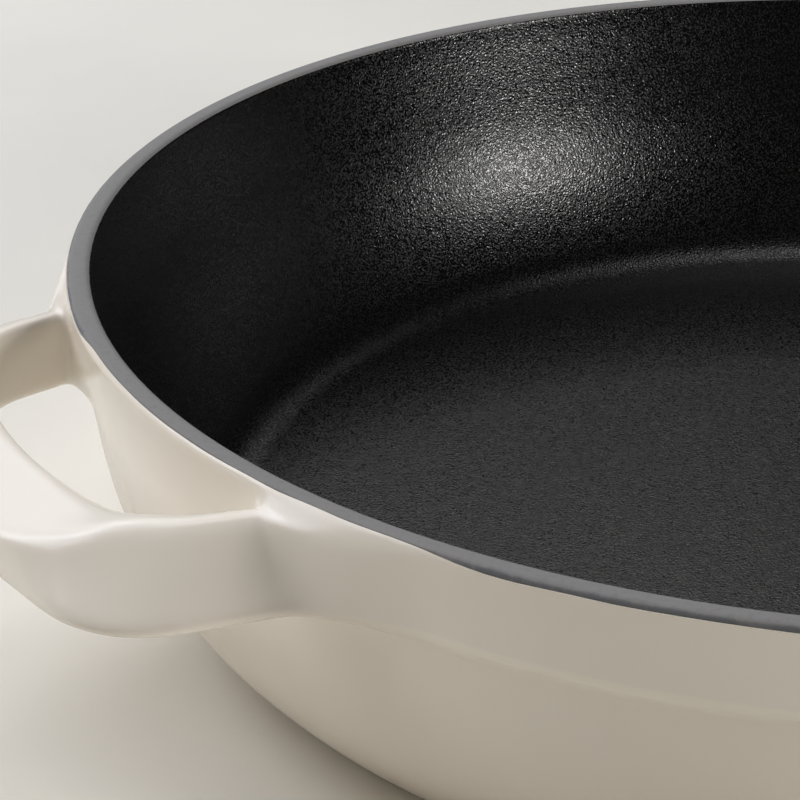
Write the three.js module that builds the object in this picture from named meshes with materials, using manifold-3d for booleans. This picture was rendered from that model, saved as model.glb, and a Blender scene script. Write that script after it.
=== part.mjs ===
// Enamelled cast-iron serving pan: a shallow round bowl with two loop handles.
//
// The pan is one iron casting, bowl and loop handles poured together, under fired coats of glass
// enamel: a pale gloss coat outside, a black satin coat inside, a grey ground coat left bare along
// the lip, and a pale patch on the underside, inside the foot ring that is ground back to bare iron.
//
// Millimetres, +Z up. The origin is the centre of the foot ring, on the surface the pan stands on.
// The handles lie along X. A point of a profile is (radius, height).

import * as THREE from 'three';
import { mergeVertices } from 'three/addons/utils/BufferGeometryUtils.js';
import Module from 'manifold-3d';

const wasm = await Module();
wasm.setup();

// Bowl, over the finished enamel
const PAN_HEIGHT = 60;
const LIP_RADIUS = 150.4;
const LIP_WIDTH = 4.5;
const LIP_ROUND = 1.4;
const LIP_COAT_TURN = THREE.MathUtils.degToRad(30);
const LIP_COAT_INNER_TURN = THREE.MathUtils.degToRad(55);
const FLOOR_THICKNESS = 5.3;
const WALL_THICKNESS = 4.8;
const WALL_DRAFT = THREE.MathUtils.degToRad(9.8);
const BELLY_DROP = 30.3;
const BELLY_RADIUS = 48;
const INSIDE_BELLY_DROP = 20;
const INSIDE_BELLY_RADIUS = 68;
const FLOOR_FILLET = 14;

// Ridge at the casting's parting line, where the two drafts of the outer wall meet
const RIDGE_DROP = 14.1;
const RIDGE_STEP = 1.5;
const RIDGE_ROUND = 2;
const RIDGE_HOLLOW = 3;

// Foot ring
const FOOT_EDGE_ROUND = 8;
const FOOT_WIDTH = 8;
const FOOT_CHAMFER = 0.8;
const RECESS_DEPTH = 1;

// Enamel coats, and the bond line left between a coat and what it lies on or meets
const OUTSIDE_COAT = 0.5;
const INSIDE_COAT = 0.4;
const LIP_COAT = 0.3;
const BASE_COAT = 0.5;
const COAT_GAP = 0.1;

// Loop handle: its plan outline, from the bowl to the middle of the bar, and its reach past the lip
const HANDLE_REACH = 32.4;
const HANDLE_CROWN = 5;
const HANDLE_HALF_SPAN = 55.8;
const HANDLE_TAPER = 4;
const HANDLE_CORNER_EASE = 16;
const BAR_WIDTH = 13.8;
const OPENING_CROWN = 6.5;
const OPENING_HALF_SPAN = 41;
const OPENING_TAPER = 3.8;
const OPENING_CORNER_EASE = 11;

// Loop handle: heights of its section below the lip, and its rounded edges
const HANDLE_BOTTOM_DROP = 16.4;
const ARM_INNER_DIP = 1.1;
const ARM_CREST_DROP = 2.9;
const BAR_CREST_DROP = 3.9;
const BAR_SHOULDER_DROP = 8.4;
const LEDGE_SHOULDER_DROP = 3.4;
const ARM_CREST_SHARE = 0.36;
const ROOT_CREST_SHARE = 0.8;
const CREST_ROUND = 3.2;
const SHOULDER_ROUND = 4.5;
const LEDGE_ROUND = 2.2;
const BOTTOM_ROUND = 4;
const ROOT_FLARE = 8;
const OPENING_FLARE = 2.2;
const ROOT_RISE = 2.4;
const ROOT_DEPTH = 2.7;
const LARGEST_ROUND_SHARE = 0.45;

// Loop handle: share of the root's flare that the ledge on it takes, and the stretch over which an
// arm's section turns into the bar's, counted in corners from the start of the corner
const LEDGE_REACH = 0.85;
const BAR_TURN_START = 0.3;
const BAR_TURN_LENGTH = 1.3;

// Fineness of round stretches
const TURN_STEPS = 56;
const ARC_STEPS = 4;
const EDGE_STEPS = 2;
const LIP_STEPS = 1;
const CORNER_STEPS = 5;
const BAR_STEPS = 2;
const ROOT_STEPS = [0.08, 0.22, 0.5, 1];
const WELD_DISTANCE = 1e-4;

// Profile helpers

const point = (radius, height) => new THREE.Vector2(radius, height);

// Arc about a centre, from one angle to another, both ends included
function arc(centre, radius, from, to, steps) {
  const points = [];
  for (let i = 0; i <= steps; i += 1) {
    const angle = THREE.MathUtils.lerp(from, to, i / steps);
    points.push(point(centre.x + radius * Math.cos(angle), centre.y + radius * Math.sin(angle)));
  }
  return points;
}

// A line of points moved sideways, to the left of its direction, by one distance. Where a line ends
// on an arc, from and to give its true direction there, as angles.
function offsetLine({ points, from, to }, distance) {
  const last = points.length - 1;
  const heading = (angle) => point(Math.cos(angle), Math.sin(angle));
  const along = points.slice(1).map((after, i) => after.clone().sub(points[i]).normalize());
  const before = from === undefined ? along[0] : heading(from);
  const beyond = to === undefined ? along[last - 1] : heading(to);
  return points.map((here, i) => {
    const atEnd = i === 0 || i === last;
    const into = i === 0 ? before : along[i - 1];
    const out = i === last ? beyond : along[i];
    const mean = i === last ? beyond : into.clone().add(i === 0 ? into : out).normalize();
    const left = point(-mean.y, mean.x);
    const spread = atEnd ? 1 : left.dot(point(-into.y, into.x));
    return here.clone().addScaledVector(left, distance / spread);
  });
}

// Closed polygon with its edges moved inward by one distance
function insetPolygon(corners, distance) {
  const count = corners.length;
  const wrapped = [corners[count - 1], ...corners, corners[0]];
  return offsetLine({ points: wrapped }, distance).slice(1, count + 1);
}

// Solids

function toSolid(geometry) {
  geometry.deleteAttribute('normal');
  geometry.deleteAttribute('uv');
  const merged = mergeVertices(geometry, WELD_DISTANCE);
  const corners = Array.from(merged.index.array);
  const kept = [];
  for (let i = 0; i < corners.length; i += 3) {
    const [a, b, c] = corners.slice(i, i + 3);
    if (a !== b && b !== c && c !== a) kept.push(a, b, c);
  }
  return new wasm.Manifold(new wasm.Mesh({
    numProp: 3,
    vertProperties: new Float32Array(merged.attributes.position.array),
    triVerts: new Uint32Array(kept),
  }));
}

function toGeometry(solid) {
  const mesh = solid.getMesh();
  const geometry = new THREE.BufferGeometry();
  geometry.setAttribute('position', new THREE.BufferAttribute(new Float32Array(mesh.vertProperties), 3));
  geometry.setIndex(new THREE.BufferAttribute(new Uint32Array(mesh.triVerts), 1));
  geometry.computeVertexNormals();
  return geometry;
}

// Solid of revolution of a profile that runs anticlockwise, from its axis or back to its start
function revolve(profile) {
  const first = profile[0];
  const last = profile[profile.length - 1];
  const loop = first.x === 0 && last.x === 0 ? profile : [...profile, first.clone()];
  const geometry = new THREE.LatheGeometry(loop, TURN_STEPS);
  geometry.rotateX(Math.PI / 2);
  return toSolid(geometry);
}

// Bowl profiles, over the finished enamel

const lipInnerRadius = LIP_RADIUS - LIP_WIDTH;
const lipOverWall = lipInnerRadius + WALL_THICKNESS / Math.cos(WALL_DRAFT);
const ridgeHeight = PAN_HEIGHT - RIDGE_DROP;

// Face of the drafted wall that starts from a radius at the lip; the outer face lies a wall's
// thickness off the inner one
function wallRadius(atLip, drop) {
  return atLip - drop * Math.tan(WALL_DRAFT);
}

const ridgeRadius = wallRadius(lipOverWall, RIDGE_DROP) + RIDGE_STEP;

// Belly arc, tangent to a face of the drafted wall at a drop below the lip
function bellyArc(atLip, drop, radius) {
  const centre = point(
    wallRadius(atLip, drop) - radius * Math.cos(WALL_DRAFT),
    PAN_HEIGHT - drop + radius * Math.sin(WALL_DRAFT),
  );
  return { centre, radius };
}
const belly = bellyArc(lipOverWall, BELLY_DROP, BELLY_RADIUS);
const insideBelly = bellyArc(lipInnerRadius, INSIDE_BELLY_DROP, INSIDE_BELLY_RADIUS);

// Round from a belly to a level surface: an arc tangent to both, met by the belly at an angle
function roundToLevel({ centre: bellyCentre, radius }, round, level) {
  const reach = radius - round;
  const fall = bellyCentre.y - level - round;
  const centre = point(bellyCentre.x + Math.sqrt(reach * reach - fall * fall), level + round);
  return { centre, meeting: -Math.asin(fall / reach) };
}
const foot = roundToLevel(belly, FOOT_EDGE_ROUND, 0);

// Round edges of the lip, shared by three coats: the ground coat reaches LIP_COAT_TURN down the
// outer one and LIP_COAT_INNER_TURN down the inner one
const lipSpring = PAN_HEIGHT - LIP_ROUND;
const lipOuterCentre = point(LIP_RADIUS - LIP_ROUND, lipSpring);
const lipInnerCentre = point(lipInnerRadius + LIP_ROUND, lipSpring);
const coatGapTurn = COAT_GAP / LIP_ROUND;
const coatEdge = Math.PI / 2 - LIP_COAT_TURN;
const coatInnerEdge = Math.PI / 2 + LIP_COAT_INNER_TURN;

// Collar and ridge: a hollow off the drafted wall, the ridge's rounded edge and the collar to the
// lip. The hollow and the round meet where both slope alike, so the line has no corner.
function collarLine() {
  const lean = Math.atan2(ridgeRadius - LIP_RADIUS, lipSpring - ridgeHeight);
  const across = RIDGE_ROUND * Math.cos(lean) + RIDGE_HOLLOW * Math.cos(WALL_DRAFT) - RIDGE_STEP;
  const down = RIDGE_ROUND * Math.sin(lean) - RIDGE_HOLLOW * Math.sin(WALL_DRAFT);
  const level = across * Math.cos(WALL_DRAFT) - down * Math.sin(WALL_DRAFT);
  const turn = Math.acos(THREE.MathUtils.clamp(level / (RIDGE_ROUND + RIDGE_HOLLOW), -1, 1));
  const slope = WALL_DRAFT + turn;
  const roundCentre = point(
    ridgeRadius - RIDGE_ROUND * Math.cos(lean),
    ridgeHeight - RIDGE_ROUND * Math.sin(lean),
  );
  const hollowCentre = point(
    roundCentre.x + (RIDGE_ROUND + RIDGE_HOLLOW) * Math.cos(slope),
    roundCentre.y - (RIDGE_ROUND + RIDGE_HOLLOW) * Math.sin(slope),
  );
  const hollow = arc(hollowCentre, RIDGE_HOLLOW, Math.PI - WALL_DRAFT, Math.PI - slope, EDGE_STEPS);
  const round = arc(roundCentre, RIDGE_ROUND, -slope, lean, EDGE_STEPS);
  return [...hollow, ...round.slice(1), point(LIP_RADIUS, lipSpring)];
}

// Outside without the ridge: foot, belly and drafted wall up to the ground coat's edge
const footStart = -Math.PI / 2 + WALL_DRAFT;
const outsideEnd = coatEdge - coatGapTurn;
const outsideLine = {
  points: [
    ...arc(foot.centre, FOOT_EDGE_ROUND, footStart, foot.meeting, EDGE_STEPS),
    ...arc(belly.centre, BELLY_RADIUS, foot.meeting, -WALL_DRAFT, ARC_STEPS).slice(1),
    ...arc(lipOuterCentre, LIP_ROUND, 0, outsideEnd, EDGE_STEPS),
  ],
  from: footStart + Math.PI / 2,
  to: outsideEnd + Math.PI / 2,
};

// Lip, from its outer edge to its inner edge
const lipLine = {
  points: [
    ...arc(lipOuterCentre, LIP_ROUND, coatEdge, Math.PI / 2, LIP_STEPS),
    ...arc(lipInnerCentre, LIP_ROUND, Math.PI / 2, coatInnerEdge, LIP_STEPS),
  ],
  from: coatEdge + Math.PI / 2,
  to: coatInnerEdge + Math.PI / 2,
};

// Inside, from the lip down the wall, round the belly and the floor fillet to the floor's centre.
// The inner belly is slacker than the outer one, so the iron thickens towards the floor.
const fillet = roundToLevel(insideBelly, FLOOR_FILLET, FLOOR_THICKNESS);
const insideStart = coatInnerEdge + coatGapTurn;
const insideLine = {
  points: [
    ...arc(lipInnerCentre, LIP_ROUND, insideStart, Math.PI, EDGE_STEPS),
    ...arc(insideBelly.centre, INSIDE_BELLY_RADIUS, -WALL_DRAFT, fillet.meeting, EDGE_STEPS),
    ...arc(fillet.centre, FLOOR_FILLET, fillet.meeting, -Math.PI / 2, ARC_STEPS).slice(1),
    point(0, FLOOR_THICKNESS),
  ],
  from: insideStart + Math.PI / 2,
};

// Underside: the recess inside the foot ring, from its centre outward, and the bare ring
const footInner = foot.centre.x - FOOT_WIDTH;
const recessLine = {
  points: [
    point(0, RECESS_DEPTH),
    point(footInner - FOOT_CHAMFER, RECESS_DEPTH),
  ],
};
const footLine = [
  point(footInner, 0),
  point(foot.centre.x, 0),
];

// Loop handle

// Half of a plan outline, from the bowl to the middle of the bar
function planHalf({ halfSpan, taper, ease, reach, crown }) {
  const root = new THREE.Vector2(Math.sqrt(LIP_RADIUS ** 2 - halfSpan ** 2), halfSpan);
  const corner = new THREE.Vector2(reach - crown, halfSpan - taper);
  const crest = new THREE.Vector2(reach + crown / 2, 0);
  const armEnd = corner.clone().addScaledVector(root.clone().sub(corner).normalize(), ease);
  const barStart = corner.clone().addScaledVector(crest.clone().sub(corner).normalize(), ease);
  const mirrored = new THREE.Vector2(barStart.x, -barStart.y);
  const bend = new THREE.QuadraticBezierCurve(armEnd, corner, barStart);
  const bar = new THREE.QuadraticBezierCurve(barStart, crest, mirrored);
  const barPoints = bar.getPoints(2 * BAR_STEPS).slice(1, BAR_STEPS + 1);
  return { root, armEnd, rest: [...bend.getPoints(CORNER_STEPS), ...barPoints] };
}

// Point of an arm's edge line at a distance from the pan's axis
function alongArm(half, radius) {
  const run = half.armEnd.clone().sub(half.root);
  const a = run.lengthSq();
  const b = 2 * half.root.dot(run);
  const c = half.root.lengthSq() - radius * radius;
  const share = (-b + Math.sqrt(b * b - 4 * a * c)) / (2 * a);
  return half.root.clone().addScaledVector(run, share);
}

const outerHalf = planHalf({
  halfSpan: HANDLE_HALF_SPAN,
  taper: HANDLE_TAPER,
  ease: HANDLE_CORNER_EASE,
  reach: LIP_RADIUS + HANDLE_REACH,
  crown: HANDLE_CROWN,
});
const openingHalf = planHalf({
  halfSpan: OPENING_HALF_SPAN,
  taper: OPENING_TAPER,
  ease: OPENING_CORNER_EASE,
  reach: LIP_RADIUS + HANDLE_REACH - BAR_WIDTH,
  crown: OPENING_CROWN,
});

// How far a fillet still stands off the arm, at a share of its radius from the wall
function filletSpread(radius, share) {
  return radius * (1 - Math.sqrt(1 - (1 - share) ** 2));
}

// Stations of half a loop: the section's two plan points, its shares of bar, root and ledge, and the
// lean of the end that is buried in the drafted wall
function halfStations() {
  const stations = [];
  const addRoot = (share, depth, lean) => {
    const inner = alongArm(openingHalf, LIP_RADIUS + share * OPENING_FLARE - depth);
    const outer = alongArm(outerHalf, LIP_RADIUS + share * ROOT_FLARE - depth);
    inner.y -= filletSpread(OPENING_FLARE, share);
    outer.y += filletSpread(ROOT_FLARE, share);
    const ledge = 1 - THREE.MathUtils.smoothstep(share, 0, LEDGE_REACH);
    stations.push({ inner, outer, bar: 0, root: filletSpread(1, share), ledge, lean });
  };
  addRoot(ROOT_STEPS[0], ROOT_DEPTH, Math.tan(WALL_DRAFT));
  ROOT_STEPS.forEach((share) => addRoot(share, 0, 0));
  openingHalf.rest.forEach((inner, i) => {
    const outer = outerHalf.rest[i];
    const along = i <= CORNER_STEPS ? i / CORNER_STEPS : 1 + (i - CORNER_STEPS) / BAR_STEPS;
    const bar = THREE.MathUtils.smoothstep(along, BAR_TURN_START, BAR_TURN_START + BAR_TURN_LENGTH);
    stations.push({ inner: inner.clone(), outer: outer.clone(), bar, root: 0, ledge: 0, lean: 0 });
  });
  return stations;
}

// Rounded section of the loop at a station, grown by a distance, as points in space
function sectionRing({ inner, outer, bar, root, ledge, lean }, grow) {
  const { lerp } = THREE.MathUtils;
  const across = outer.clone().sub(inner);
  const width = across.length();
  across.normalize();
  const bottom = PAN_HEIGHT - HANDLE_BOTTOM_DROP;
  const innerBottom = bottom - ARM_INNER_DIP * (1 - bar);
  const crest = PAN_HEIGHT - lerp(ARM_CREST_DROP, BAR_CREST_DROP, bar) + ROOT_RISE * root;
  const armShoulderDrop = lerp(ARM_CREST_DROP, LEDGE_SHOULDER_DROP, ledge);
  const shoulder = PAN_HEIGHT - lerp(armShoulderDrop, BAR_SHOULDER_DROP, bar);
  const crestShare = lerp(ARM_CREST_SHARE, ROOT_CREST_SHARE, ledge);
  const shoulderAt = width * lerp(crestShare, 1, bar);
  const shoulderRound = lerp(SHOULDER_ROUND, LEDGE_ROUND, ledge);
  const corners = insetPolygon([
    point(0, innerBottom),
    point(width, bottom),
    point(shoulderAt, shoulder),
    point(0, crest),
  ], -grow);
  const rounds = [BOTTOM_ROUND, BOTTOM_ROUND, shoulderRound, CREST_ROUND];
  const ring = [];
  corners.forEach((corner, i) => {
    const toward = (other) => {
      const edge = other.clone().sub(corner);
      const reach = Math.min(rounds[i], edge.length() * LARGEST_ROUND_SHARE);
      return corner.clone().addScaledVector(edge.normalize(), reach);
    };
    const before = toward(corners[(i + 3) % 4]);
    const after = toward(corners[(i + 1) % 4]);
    new THREE.QuadraticBezierCurve(before, corner, after).getPoints(EDGE_STEPS).forEach((p) => {
      const inward = lean * (PAN_HEIGHT - p.y);
      ring.push(new THREE.Vector3(inner.x - inward + across.x * p.x, inner.y + across.y * p.x, p.y));
    });
  });
  return ring;
}

// Closed solid through a row of rings, capped at both ends
function loft(rings) {
  const size = rings[0].length;
  const positions = rings.flat().flatMap((p) => [p.x, p.y, p.z]);
  const index = [];
  for (let row = 0; row < rings.length - 1; row += 1) {
    for (let k = 0; k < size; k += 1) {
      const a = row * size + k;
      const b = row * size + (k + 1) % size;
      index.push(a, b, a + size, b, b + size, a + size);
    }
  }
  [rings[0], rings[rings.length - 1]].forEach((ring, end) => {
    const centre = ring.reduce((sum, p) => sum.add(p), new THREE.Vector3()).divideScalar(size);
    const hub = positions.length / 3;
    positions.push(centre.x, centre.y, centre.z);
    const start = end * (rings.length - 1) * size;
    for (let k = 0; k < size; k += 1) {
      const a = start + k;
      const b = start + (k + 1) % size;
      if (end) index.push(hub, a, b);
      else index.push(hub, b, a);
    }
  });
  const geometry = new THREE.BufferGeometry();
  geometry.setAttribute('position', new THREE.Float32BufferAttribute(positions, 3));
  geometry.setIndex(index);
  return geometry;
}

// Both loops, grown by a distance; the second is the first turned half round
function handleSolids(grow) {
  const half = halfStations();
  const mirrored = half.slice(0, -1).reverse().map((station) => ({
    ...station,
    inner: new THREE.Vector2(station.inner.x, -station.inner.y),
    outer: new THREE.Vector2(station.outer.x, -station.outer.y),
  }));
  const rings = [...half, ...mirrored].map((station) => sectionRing(station, grow));
  const right = toSolid(loft(rings));
  const left = toSolid(loft(rings).rotateZ(Math.PI));
  return { right, left };
}

// Collar ring outside the drafted wall, left out between the arms of each handle
function collarRing(inset) {
  const line = offsetLine({ points: collarLine() }, inset);
  const low = line[0];
  const top = line[line.length - 1];
  const ring = revolve([
    ...line,
    point(top.x - ROOT_DEPTH, top.y),
    point(low.x - ROOT_DEPTH, low.y),
  ]);
  const between = HANDLE_HALF_SPAN + OPENING_HALF_SPAN + 2 * inset;
  const gap = new THREE.BoxGeometry(2 * (LIP_RADIUS + HANDLE_REACH), between, 2 * PAN_HEIGHT);
  return ring.subtract(toSolid(gap));
}

// Collar and loops, drawn in by a distance, joined to a bowl
function withCollarAndLoops(bowl, inset) {
  const loops = handleSolids(-inset);
  return bowl.add(collarRing(inset)).add(loops.right).add(loops.left);
}

// Iron casting: the bowl with its foot ring and collar, and both loop handles
function ironCasting() {
  const inset = OUTSIDE_COAT + COAT_GAP;
  const bowl = revolve([
    ...offsetLine(recessLine, BASE_COAT + COAT_GAP),
    ...footLine,
    ...offsetLine(outsideLine, inset),
    ...offsetLine(lipLine, LIP_COAT + COAT_GAP),
    ...offsetLine(insideLine, INSIDE_COAT + COAT_GAP),
  ]);
  return withCollarAndLoops(bowl, inset);
}

// Pale gloss coat over the outer wall and both handles
function outsideEnamel() {
  const under = offsetLine(outsideLine, OUTSIDE_COAT);
  const start = outsideLine.points[0];
  const end = outsideLine.points[outsideLine.points.length - 1];
  const underEnd = under[under.length - 1];
  const outer = revolve([
    point(0, start.y),
    ...outsideLine.points,
    underEnd,
    point(0, underEnd.y),
  ]);
  const core = revolve([
    point(0, start.y - OUTSIDE_COAT),
    point(under[0].x, start.y - OUTSIDE_COAT),
    ...under,
    point(underEnd.x, end.y + OUTSIDE_COAT),
    point(0, end.y + OUTSIDE_COAT),
  ]);
  return withCollarAndLoops(outer, 0).subtract(withCollarAndLoops(core, OUTSIDE_COAT));
}

// Coat of revolution between a finished line and the iron under it
function coatRing(line, thickness) {
  return revolve([...line.points, ...offsetLine(line, thickness).reverse()]);
}

// The part

function piece(name, solid, colour, roughness, metalness) {
  const material = new THREE.MeshStandardMaterial({ color: colour, roughness, metalness });
  const mesh = new THREE.Mesh(toGeometry(solid), material);
  mesh.name = name;
  return mesh;
}

const pan = new THREE.Group();
pan.name = 'serving_pan';
pan.add(piece('iron_casting', ironCasting(), 0x3b3b3d, 0.7, 0.6));
pan.add(piece('outside_enamel', outsideEnamel(), 0xe8e2d6, 0.16, 0));
pan.add(piece('inside_enamel', coatRing(insideLine, INSIDE_COAT), 0x1d1e20, 0.45, 0));
pan.add(piece('lip_ground_coat', coatRing(lipLine, LIP_COAT), 0x86888c, 0.6, 0));
pan.add(piece('base_enamel', coatRing(recessLine, BASE_COAT), 0xe0dacd, 0.25, 0));

export default pan;
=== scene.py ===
"""Serving pan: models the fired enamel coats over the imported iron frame, and sets the stage.

The pan is one iron casting under coats of glass enamel. The casting is modelled as a closed solid, bowl
and loop handles in one, and each coat as a thin closed skin over it. Lengths are metres, +Z is up, the
handles lie along X, and the origin is the centre of the foot ring.
"""

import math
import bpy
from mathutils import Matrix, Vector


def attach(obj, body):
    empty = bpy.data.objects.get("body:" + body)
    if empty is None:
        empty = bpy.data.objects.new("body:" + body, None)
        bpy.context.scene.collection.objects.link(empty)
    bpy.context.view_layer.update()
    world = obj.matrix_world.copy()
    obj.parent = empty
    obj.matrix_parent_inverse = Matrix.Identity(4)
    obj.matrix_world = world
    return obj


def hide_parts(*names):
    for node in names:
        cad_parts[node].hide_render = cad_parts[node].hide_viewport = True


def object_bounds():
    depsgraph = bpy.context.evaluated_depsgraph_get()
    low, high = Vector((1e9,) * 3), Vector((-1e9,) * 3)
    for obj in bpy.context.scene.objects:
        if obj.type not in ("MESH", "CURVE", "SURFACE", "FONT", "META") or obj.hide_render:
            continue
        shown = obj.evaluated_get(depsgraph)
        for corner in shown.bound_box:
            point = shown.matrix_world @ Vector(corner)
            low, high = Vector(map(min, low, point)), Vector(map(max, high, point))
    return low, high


bl_info = {
    "name": "Serving Pan",
    "version": (1, 0, 0),
    "blender": (4, 5, 0),
    "location": "3D View > Sidebar > Pan",
    "description": "Models the enamel coats of a cast-iron serving pan over its frame",
    "category": "Add Mesh",
}

import bmesh
import bpy
from bpy.props import FloatProperty, FloatVectorProperty, IntProperty, PointerProperty
from mathutils import Quaternion, Vector, noise

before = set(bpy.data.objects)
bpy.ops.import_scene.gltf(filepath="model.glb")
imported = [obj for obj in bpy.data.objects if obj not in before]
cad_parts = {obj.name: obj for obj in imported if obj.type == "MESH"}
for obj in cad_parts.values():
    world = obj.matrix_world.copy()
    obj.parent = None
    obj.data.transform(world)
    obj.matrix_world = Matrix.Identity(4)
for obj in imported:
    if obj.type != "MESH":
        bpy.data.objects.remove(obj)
cad_low, cad_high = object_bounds()

MM = 0.001
BODY = "root"


# Properties

def length(name, description, millimetres):
    """A length that a user may change, given in millimetres and kept in metres."""
    return FloatProperty(
        name=name, description=description, default=millimetres * MM,
        precision=5, subtype="DISTANCE", unit="LENGTH",
    )


def angle(name, description, degrees):
    """An angle that a user may change, given in degrees and kept in radians."""
    return FloatProperty(
        name=name, description=description, default=math.radians(degrees), subtype="ANGLE",
    )


def property_maker(kind, **fixed):
    """A maker of properties of one kind, each with a name, a description and a default."""
    def make(name, description, default):
        return kind(name=name, description=description, default=default, **fixed)

    return make


share = property_maker(FloatProperty, min=0.0, max=1.0, subtype="FACTOR")
power = property_maker(FloatProperty, min=0.0, unit="POWER")
camera_length = property_maker(FloatProperty, subtype="DISTANCE_CAMERA", unit="CAMERA")
count = property_maker(IntProperty, min=1)
colour = property_maker(FloatVectorProperty, size=3, min=0.0, max=1.0, subtype="COLOR")


class BowlSizes(bpy.types.PropertyGroup):
    """Sizes of the bowl, over the finished enamel."""

    height: length("Height", "Foot ring to the top of the lip", cad_high.z / MM)
    lip_radius: length("Lip radius", "Outside of the lip", cad_high.y / MM)
    lip_width: length("Lip width", "Outside to inside of the lip", 4.5)
    lip_round: length("Lip round", "Radius of the lip's two edges", 1.4)
    lip_coat_turn: angle("Lip coat turn", "How far the grey coat reaches down the lip's outer edge", 34)
    lip_coat_inner_turn: angle("Lip coat inner turn", "How far it reaches down the lip's inner edge", 55)
    lip_coat_lap: angle("Lip coat lap", "How far the grey coat runs on under the coats beside it", 35)
    lip_coat_sink: length("Lip coat sink", "How far the grey coat lies under the coats beside it", 0.06)
    lip_lap_sink: length("Lip lap sink", "How far it lies under them where they cover it", 0.3)
    wall_thickness: length("Wall thickness", "Outer to inner face of the wall", 4.8)
    wall_draft: angle("Wall draft", "Lean of the wall off the vertical", 9.8)
    belly_drop: length("Belly drop", "Lip to the top of the belly's curve, outside", 30.3)
    belly_radius: length("Belly radius", "Curve from the wall to the base, outside", 48)
    inside_belly_drop: length("Inside belly drop", "Lip to the top of the belly's curve, inside", 20)
    inside_belly_radius: length("Inside belly radius", "Curve from the wall to the floor, inside", 68)
    floor_thickness: length("Floor thickness", "Ground to the cooking surface", 5.3)
    floor_fillet: length("Floor fillet", "Round between the floor and the wall", 14)
    ridge_drop: length("Ridge drop", "Lip to the ridge at the parting line", 14.1)
    ridge_step: length("Ridge step", "How far the ridge stands off the drafted wall", 1.5)
    ridge_round: length("Ridge round", "Radius of the ridge's edge", 2)
    ridge_hollow: length("Ridge hollow", "Radius of the hollow under the ridge", 3)
    foot_round: length("Foot round", "Curve from the belly to the ground", 8)
    foot_width: length("Foot width", "Width of the ground ring", 8)
    foot_chamfer: length("Foot chamfer", "Ring to the edge of the recess", 0.8)
    recess_depth: length("Recess depth", "Ground to the base enamel", 1)
    outside_coat: length("Outside coat", "Thickness of the pale outside enamel", 0.5)
    inside_coat: length("Inside coat", "Thickness of the black inside enamel", 0.4)
    lip_coat: length("Lip coat", "Thickness of the grey ground coat", 0.3)
    base_coat: length("Base coat", "Thickness of the enamel in the recess", 0.5)
    edge_wander: angle("Edge wander", "How far the pale coat's edge strays along the lip", 14)
    edge_sag: angle("Edge sag", "How much lower that edge hangs between the handles", 46)


class HandleSizes(bpy.types.PropertyGroup):
    """Sizes of the loop handles, over the finished enamel."""

    reach: length("Reach", "Lip to the outside of the bar", (cad_high.x - cad_high.y) / MM)
    crown: length("Crown", "How far the bar bows out between its corners", 5)
    half_span: length("Half span", "Middle of the handle to the outside of an arm", 55.8)
    taper: length("Taper", "How far the arms draw in towards the bar", 4)
    corner_ease: length("Corner ease", "Length of arm and bar taken up by a corner", 16)
    bar_width: length("Bar width", "Inside to outside of the bar", 13.8)
    opening_crown: length("Opening crown", "How far the bar's inside bows out", 6.5)
    opening_half_span: length("Opening half span", "Middle of the handle to the inside of an arm", 41)
    opening_taper: length("Opening taper", "How far the opening draws in towards the bar", 3.8)
    opening_ease: length("Opening ease", "Length of arm and bar taken up by an inside corner", 11)
    bottom_drop: length("Bottom drop", "Lip to the underside", 16.4)
    inner_dip: length("Inner dip", "How far an arm's inner edge hangs under its outer edge", 1.1)
    arm_crest_drop: length("Arm crest drop", "Lip to the top of an arm", 2.9)
    bar_crest_drop: length("Bar crest drop", "Lip to the inner edge of the bar's top", 3.9)
    bar_shoulder_drop: length("Bar shoulder drop", "Lip to the outer edge of the bar's top", 9.2)
    arm_crest_share: share("Arm crest share", "Share of an arm's width that its crest takes", 0.28)
    root_crest_share: share("Root crest share", "Share of the width that the crest takes at the root", 0.8)
    root_shoulder_drop: length("Root shoulder drop", "Lip to the outer edge of the ledge at the root", 3.4)
    crest_round: length("Crest round", "Reach of an arm's inner edge round", 4.5)
    bar_crest_round: length("Bar crest round", "Reach of the bar's inner edge round", 2)
    shoulder_round: length("Shoulder round", "Reach of the outer edge round", 2.4)
    ledge_round: length("Ledge round", "Reach of the round along the edge of the ledge at the root", 2.2)
    bottom_round: length("Bottom round", "Reach of the two lower edge rounds", 4)
    root_flare: length("Root flare", "Fillet from an arm to the wall, outside", 8)
    opening_flare: length("Opening flare", "Fillet from an arm to the wall, in the opening", 2.2)
    root_rise: length("Root rise", "How far the crest rises to the lip at its root", 4.7)


class PanFinish(bpy.types.PropertyGroup):
    """Colours of the coats and the iron."""

    pale_enamel: colour("Pale enamel", "Gloss enamel outside", (0.845, 0.778, 0.683))
    # The thick colour is also the colour of the painted light band under the ridge.
    pale_enamel_thick_and_lit: colour("Pale enamel, thick", "Where the outside coat has pooled", (0.92, 0.86, 0.75))
    black_enamel: colour("Black enamel", "Satin enamel inside", (0.002, 0.002, 0.0021))
    black_enamel_grain: colour("Black enamel grain", "High spots of its grain", (0.008, 0.008, 0.0083))
    ground_coat: colour("Ground coat", "Bare coat along the lip", (0.225, 0.217, 0.21))
    # Painted shade: the darker colour painted along the lip's outer round, where the coat turns down into
    # shade.
    ground_coat_shade: colour("Ground coat edge", "Where it meets the pale enamel", (0.145, 0.148, 0.158))
    iron: colour("Iron", "Bare casting", (0.062, 0.06, 0.06))
    ground_iron: colour("Ground iron", "Foot ring, ground flat", (0.34, 0.335, 0.33))


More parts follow.
